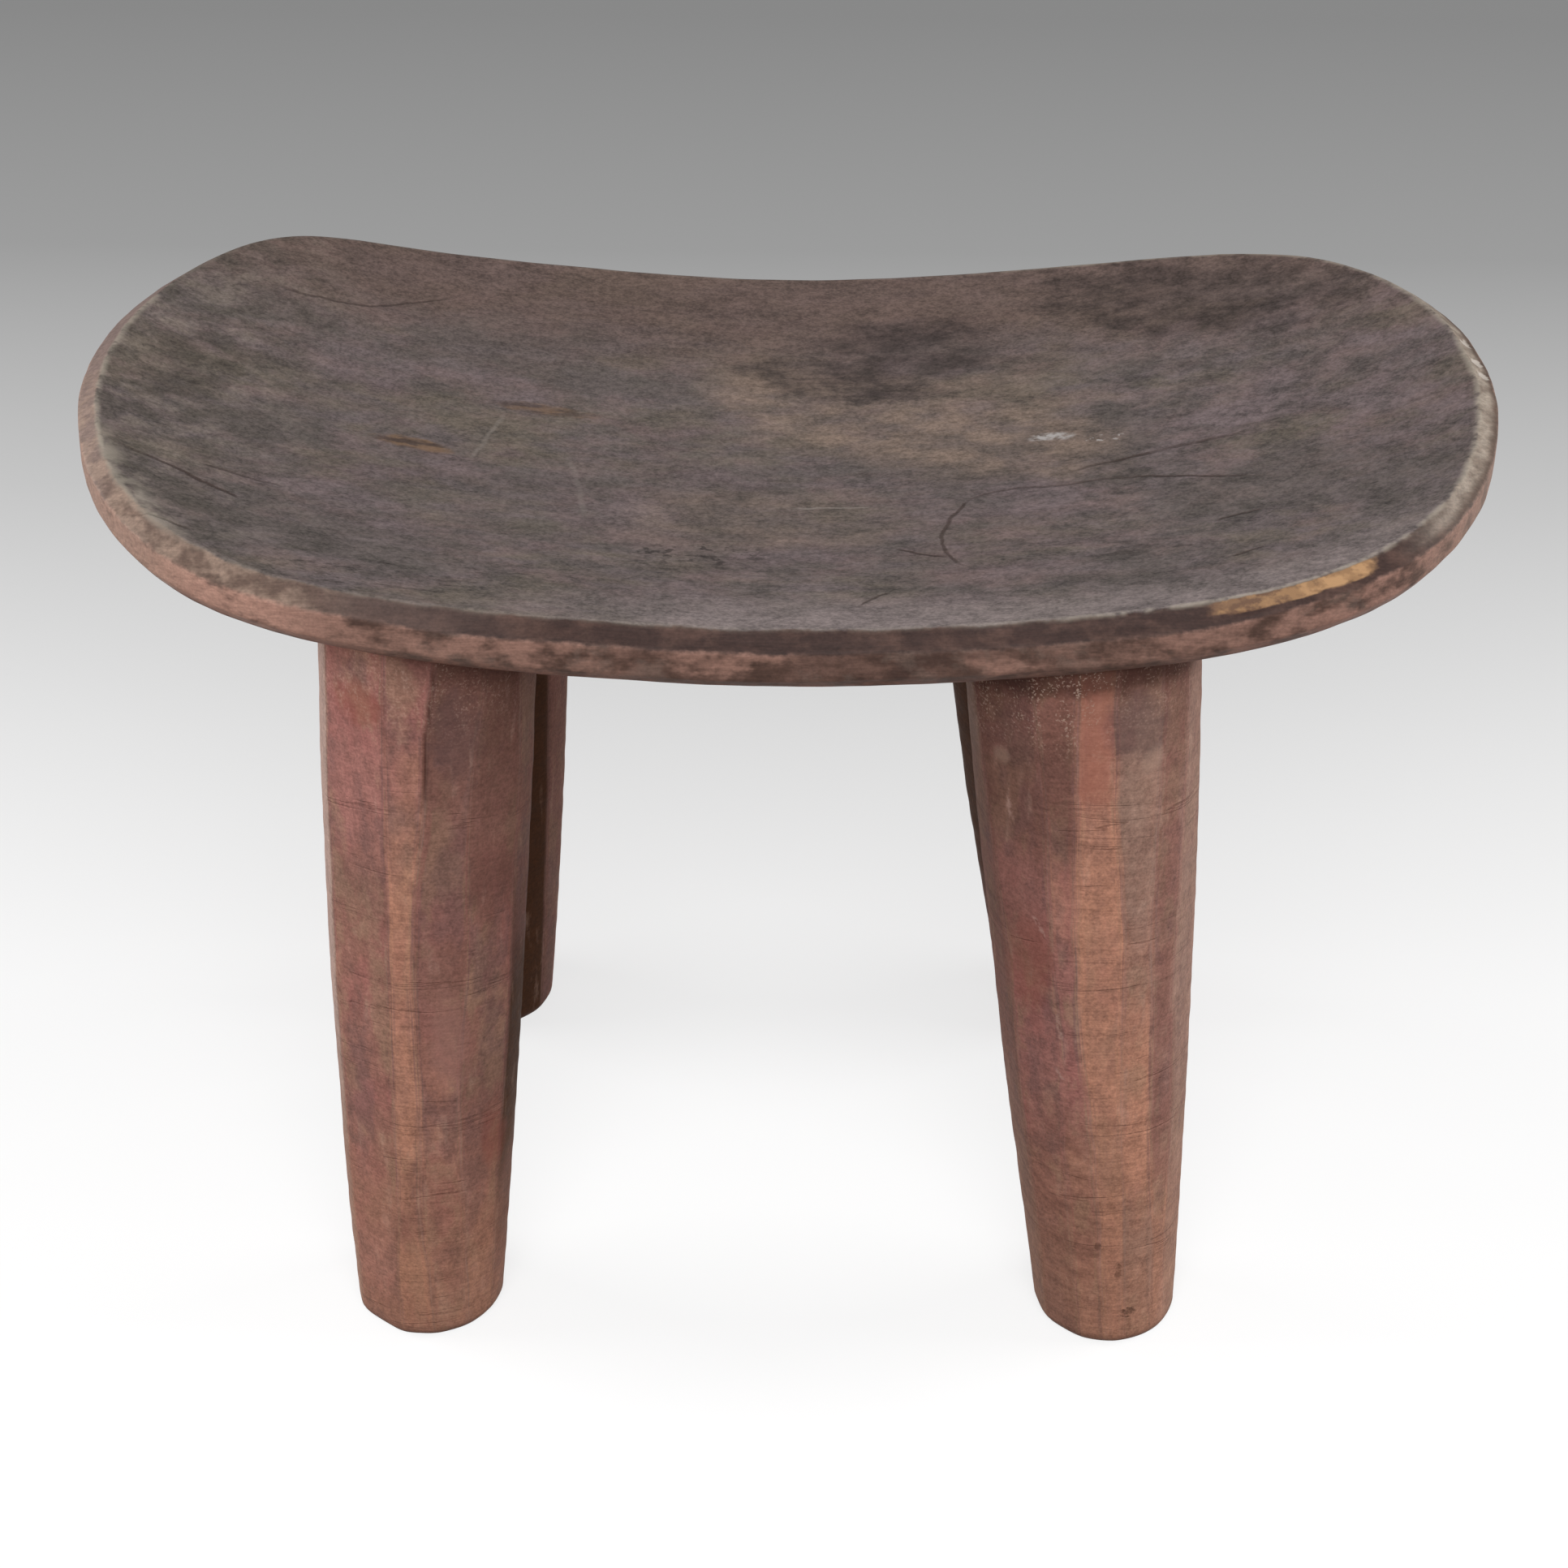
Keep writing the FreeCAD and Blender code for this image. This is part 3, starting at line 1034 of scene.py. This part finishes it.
top_colour = painted(
    top_colour,
    (scars * 0.7, scar_colour),
    (cracks * 0.75, tint(58, 45, 40)),
    (scratches * 0.4, tint(164, 154, 146)),
    (rubbed * ramp(speck, 0.3, 0.6) * 0.8, tint(180, 176, 174)),
)
print("with its cracks it has", len(seat_material.node_tree.nodes), "nodes")

# %% [markdown]
# The rim is dark brown on its upper bevel and rubbed red on the band below, salmon at the left corner and
# pale end grain at the right. The distance across the rim, noted on each point, tells the material which is
# which. Dirt and rubbing blur the lines, so noise is added to the distance before it is compared.

# %% Rim colours
dark_brown = tint(63, 46, 42)
mid_brown = tint(92, 69, 61)
rust = tint(112, 86, 77)
umber = tint(82, 61, 53)
salmon = tint(206, 162, 145)

blotch = cloud(spot, (100, 100, 160), 3, 14, 0.6)
ragged = run + (mottle - 0.5) * 3 + (speck - 0.5) * 1.5
left_corner = ramp(x_mm + (patches - 0.5) * 40, -118, -156) * ramp(y_mm, 20, -40)
left_tip = ramp(x_mm, -196, -212)
far_left = ramp(x_mm, -164, -192)
to_the_right = ramp(x_mm, 176, 212)
pinker = (
    ramp(x_mm, 40, 150)
    | ramp(x_mm, -36, -60)
    | blot(x, z, blotch, (-18, 278), (22, 6))
    | blot(x, z, blotch, (64, 276), (14, 5)) * 0.8
)
end_colour = blend(ramp(blotch + (fibre - 0.5) * 0.6, 0.36, 0.64), tint(138, 126, 115), tint(190, 178, 164))

band_colour = painted(
    blend(ramp(blotch, 0.34, 0.68), rust, umber),
    (ramp(patches_2 + (blotch - 0.5) * 0.4, 0.52, 0.66) * 0.5, dark_brown),
    (ramp(dapple_2, 0.5, 0.64) * 0.45, tint(112, 96, 88)),
    (left_corner * ramp(blotch, 0.8, 0.42) * 0.95, salmon),
    (pinker * ramp(blotch, 0.66, 0.38) * 0.8, tint(156, 120, 107)),
    (to_the_right * 0.5 | far_left * 0.6, tint(146, 122, 108)),
)
bevel_colour = painted(
    # the upper bevel is painted dark brown, much darker than the top of the seat
    blend(ramp(blotch, 0.4, 0.7) * 0.7, dark_brown, mid_brown),
    (ramp(x_mm, -70, -126) * 0.5, tint(104, 86, 80)),
    (left_corner * 0.6, tint(112, 92, 80)),
    (left_tip * 0.6, tint(148, 128, 121)),
    (left_corner * ramp(blotch, 0.62, 0.42) * 0.6, tint(164, 140, 124)),
    (to_the_right * ramp(ragged, 8, 4) * 0.9, end_colour),
    (to_the_right * 0.4, tint(120, 102, 88)),
)
under_colour = blend(ramp(blotch, 0.4, 0.6), tint(120, 84, 72), tint(92, 66, 56))

colour = blend(ramp(ragged, 7.6, 9.4), bevel_colour, band_colour)
colour = blend(ramp(ragged, 19, 23), colour, under_colour)
tones = tone(streak, 0.16) + tone(thread, 0.16) + tone(speck, 0.2) + tone(grain, 0.18)
colour = shaded(colour, tones + 0.65)
colour = blend(ramp(ragged, 0.9, -0.5), colour, top_colour)
print("with its rim it has", len(seat_material.node_tree.nodes), "nodes")

# %% [markdown]
# The lip is a thin pale line, partly rubbed by hands and clothes and partly a painted highlight on its
# rounded crest, broken by dirt and widest at the left corner. Where the splinter broke off, the wood is
# stained on the left and gets more golden to the right, and the nicks at the right end are nearly white.

# %% Lip and breaks
gold = tint(154, 119, 86)
pale_split = tint(196, 186, 176)

chip_mask = noted(start, "chip")
nick_mask = noted(start, "nick")
corner_zone = ramp(x_mm, -168, -190) * ramp(y_mm, -30, -62)
lip_wide = ramp(run + (mottle - 0.5) * 9, -9, -2) * ramp(run, 3, 0) * corner_zone
lip_share = 0.15 + ramp(x_mm, 40, 120) * 0.4 + left_tip * 0.4 + corner_zone * 0.35
lip_breaks = ramp(dapple_2 + (speck - 0.5) * 0.2, 0.34, 0.56)
# the lip's pale line: partly rubbed wood, partly a painted highlight on the crest
lip_rub_and_highlight = ramp(abs(run + (mottle - 0.5) * 1.8), 2, 0) * lip_share * lip_breaks
splinter = cloud(spot, (230, 330, 330), 3, 3, 0.65)
along_chip = ramp(x_mm, 120, 162)
chip_colour = blend(ramp(splinter + (along_chip - 0.5) * 0.3, 0.36, 0.6), tint(112, 84, 66), gold)
glints = ramp(blotch + (splinter - 0.5) * 0.4, 0.48, 0.62) * (0.15 + along_chip * 0.75)
chip_colour = blend(glints, chip_colour, tint(186, 146, 106))
chip_here = ramp(chip_mask + (speck - 0.5) * 0.5 + (blotch - 0.5) * 0.9, 0.25, 0.85)
colour = painted(
    colour,
    (lip_rub_and_highlight | lip_wide * ramp(blotch, 0.34, 0.62) * 0.6, cream),
    (chip_here, chip_colour),
    (ramp(nick_mask + (speck - 0.5) * 0.9, 0.3, 0.7) * to_the_right * 0.85, pale_split),
)

height = fibre * 0.3 + streak * 0.3 + thread * 0.25 + speck * 0.25
height = height - cracks * 1.6 - scars * 0.4 + chip_mask * blotch * 1.5
roughness = 0.62 + (mottle - 0.5) * 0.25 + cracks * 0.2
finish_wood(colour, roughness, 0.2, height, 0.55)
print("seat wood has", len(seat_material.node_tree.nodes), "nodes")

# %% [markdown]
# The legs were rubbed with a red dye, which handling has worn through. Facets that stand proud are bare
# orange wood, facets that face out are greyed, and sheltered ones stay dark and red. The outermost facets
# also get a pale painted sheen, and the faces that turn in under the seat get a dark brown painted shade.
# Each point knows how bare, grey, deep or rosy its facet is, and the material adds what all of the wood has:
# level fibres, patches and dirt.

# %% Leg wood
dyed = tint(151, 107, 96)
bare_wood = tint(185, 134, 112)
weathered = tint(150, 121, 108)
deep_red = tint(102, 71, 64)
rosy = tint(164, 114, 107)

leg_material, start = new_material("leg_wood")
spot, x, y, z, layered = log_parts(start)
x_mm = x / mm
y_mm = y / mm
bare, grey, deep, rose = [noted(start, part) for part in ("bare", "grey", "deep", "rose")]
climb = noted(start, "climb")
layer = noted(start, "stroke_layer")

fibre = cloud(layered, (30, 300, 480), 3)
thread = cloud(layered, (60, 600, 1300), 2, 2)
liny = cloud(layered, (40, 40, 330), 3, 11, 0.6)
patches = cloud(spot, (48, 48, 22), 3, 1, 0.6, layer)
patches_2 = cloud(spot, (52, 52, 26), 3, 7, 0.6, layer)
patches_3 = cloud(spot, (60, 60, 30), 3, 4, 0.6, layer)
mottle = cloud(spot, (170, 170, 120), 4, 5, 0.7)
stroke = cloud(spot, (230, 230, 34), 3, 6)
speck = cloud(spot, (620, 620, 620), 2, 3)
grain = cloud(spot, (1300, 1300, 1300), 1, 9)

uneven = (mottle - 0.5) * 0.6
faint = uneven * 0.5
calm = 1 - ramp(bare, 0.6, 1.1) * 0.55
colour = painted(
    blend(ramp(bare + (patches - 0.5) * 0.8 + uneven, 0.15, 1.05), dyed, bare_wood),
    (ramp(rose + (patches_2 - 0.5) * 0.8 + uneven, 0.15, 1.05) * 0.8, rosy),
    (ramp(patches_2 + faint, 0.48, 0.62) * calm * 0.5, tint(158, 102, 97)),
    (ramp(patches_3 + faint, 0.48, 0.62) * calm * 0.55, tint(152, 124, 103)),
    (ramp(patches + faint, 0.52, 0.38) * calm * 0.5, tint(118, 90, 88)),
    (ramp(grey + (patches_2 - 0.5) * 0.8 + uneven, 0.2, 1.1), weathered),
    # a grey above 0.9 lays a pale painted sheen on the outermost facets
    (ramp(grey + faint, 0.9, 1.6) * 0.7, tint(188, 160, 150)),
    (ramp(deep + (patches - 0.5) * 0.8 + uneven, 0.1, 1.1) * 0.85, deep_red),
    # a deep above 1.1 lays a dark brown painted shade on the faces that turn in under the seat
    (ramp(deep + faint, 1.1, 1.6) * 0.88, tint(66, 40, 20)),
    (ramp(stroke + uneven * 0.6, 0.58, 0.76) * 0.25, tint(176, 146, 132)),
    (ramp(climb + uneven * 0.2, 0.42, 0.1) * ramp(y_mm, 0, -40) * 0.4, tint(164, 120, 97)),
)
tones = tone(fibre, 0.06) + tone(thread, 0.08 + bare * 0.08) + tone(mottle, 0.26) + tone(stroke, 0.1)
tones = tones + tone(speck, 0.22) + tone(grain, 0.22)
tones = tones + (tone(liny) - 0.5) * (0.04 + ramp(x_mm, -40, 40) * 0.1)
colour = shaded(colour, tones + 0.54)
print("leg wood has", len(leg_material.node_tree.nodes), "nodes so far")

# %% [markdown]
# Details come last: fine checks that lie level with the grain, dark creases where two strokes of the blade
# met, rings that slant across the front right leg, smudges, reddened spots and pale scratches, knots near
# the front right foot, and a dark line at the top of each leg. That line is partly dirt packed under the
# seat and partly painted shade where leg and seat meet. Last come pale flecks where the red has flaked off.
# The marks that belong to one leg are placed in x and z and kept to the front by y.

# %% Marks on the legs
crease = noted(start, "crease")
# pale arrises: partly worn edges and partly a painted highlight along them
arris_wear_and_highlight = noted(start, "arris")
in_front = ramp(y_mm, -84, -96)
on_right = ramp(x_mm, -5, 5)

check_layer = cloud(layered, (6, 8, 120), 3, 8)
check_here = ramp(cloud(spot, (30, 30, 80), 2, 2), 0.5, 0.58)
checks = ramp(abs(check_layer + (mottle - 0.5) * 0.03 - 0.5), 0.01, 0.002)
checks = checks * check_here * ramp(climb, 0.9, 0.8)
to_the_left = (112 - x_mm) | 0
slant = z / mm - to_the_left * to_the_left * 0.018
slant_spot = start.node("CombineXYZ", {}, {2: slant + (mottle - 0.5) * 3})
slant_layer = cloud(slant_spot, (1, 1, 0.055), 2, 3)
slant_rings = ramp(abs(slant_layer - 0.5), 0.05, 0) * ramp(patches, 0.42, 0.58)
slant_rings = slant_rings * blot(x, z, mottle, (94, 62), (24, 52)) * on_right
pinkish = blot(x, z, mottle, (-105, 128), (7, 24)) * 0.35
pale = blot(x, z, mottle, (110.5, 239), (4, 6), -20) * 0.4 | blot(x, z, mottle, (66, 235), (2.5, 4)) * 0.35
reddened = (
    blot(x, z, mottle, (-126, 254), (9, 9)) * 0.5
    | blot(x, z, mottle, (-94, 82), (4, 16)) * 0.4
    | blot(x, z, mottle, (78, 160), (8, 22)) * 0.35
)
ember = blot(x, z, mottle, (92, 250), (12, 30)) * ramp(bare, 0.5, 0.9) * 0.7
smudge = blot(x, z, mottle, (105, 252), (11, 14), 10) * 0.5 | blot(x, z, mottle, (-97, 244), (9, 20)) * 0.4
scratches = strongest(
    crack(z, x, mottle, course, width)
    for course, width in (
        (((172, 82), (176, 80), (180, 78)), 0.9),
        (((132, 89), (137, 88), (144, 87)), 0.9),
        (((116, 91), (118, 89.5), (121, 88)), 0.9),
        (((212, 70), (217, 69.5), (221, 69)), 0.8),
    )
)
knots = (
    blot(x, z, speck, (118, 14), (2.6, 2.4))
    | blot(x, z, speck, (113.5, 33), (1.2, 4.5)) * 0.7
    | blot(x, z, speck, (106, 45), (1.2, 2)) * 0.7
)
knots = knots * in_front
# a dark line at the top of each leg: partly dirt, partly painted shade where the leg meets the seat
root_dirt_and_shade = ramp(climb + (mottle - 0.5) * 0.04, 0.945, 0.975) * ramp(x_mm, -124, -104)
fleck_zone = ramp(climb, 0.86, 0.94) * (0.35 + on_right * ramp(x_mm, 100, 84) * 0.65)
flecks = ramp(grain + uneven * 0.25, 0.58, 0.66) * fleck_zone * ramp(mottle, 0.42, 0.58)
colour = painted(
    colour,
    (checks * (0.16 + on_right * 0.16), tint(88, 54, 45)),
    (arris_wear_and_highlight * ramp(patches_2, 0.48, 0.64) * 0.22, tint(182, 152, 138)),
    (crease * 0.8, tint(66, 36, 32)),
    (slant_rings * in_front * 0.35, tint(96, 64, 58)),
    (pinkish * in_front, tint(172, 130, 120)),
    (pale * in_front, tint(178, 150, 134)),
    (reddened * in_front, tint(146, 82, 70)),
    (ember * in_front, tint(168, 108, 92)),
    (smudge * in_front, tint(96, 76, 76)),
    (scratches * in_front * ramp(speck, 0.35, 0.6) * 0.5, tint(190, 156, 146)),
    (knots * 0.6, tint(72, 47, 37)),
    (root_dirt_and_shade * (0.45 + on_right * 0.3), tint(60, 36, 30)),
    (flecks * 0.6, tint(190, 166, 152)),
    (ramp(climb, 0.02, 0) * 0.5, tint(98, 72, 62)),
)

height = fibre * 0.3 + thread * 0.2 + speck * 0.35 + grain * 0.2 + mottle * 0.5
height = height - checks * 0.5 - crease * 1.5 - knots
roughness = 0.66 + (mottle - 0.5) * 0.25
finish_wood(colour, roughness, 0.08, height, 0.7)
print("leg wood has", len(leg_material.node_tree.nodes), "nodes")

# %% [markdown]
# The carved pieces now take the place of the plain solids, which stay in the file for collisions. Each
# rides on the stool's one body.

# %% Put the stool together
carved_pieces = {"seat": (seat_mesh, seat_material, "seat_wood")}
for name, mesh in leg_meshes.items():
    carved_pieces[name] = (mesh, leg_material, "leg_wood")

for node, (mesh, material, slot) in carved_pieces.items():
    piece = bpy.data.objects.new("carved_" + node, mesh)
    scene.collection.objects.link(piece)
    mesh.materials.append(material)
    mesh.polygons.foreach_set("use_smooth", [True] * len(mesh.polygons))
    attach(piece, "root")
    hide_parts(node)
    triangles = sum(len(face.vertices) - 2 for face in mesh.polygons)
    print(piece.name, "has", triangles, "triangles")
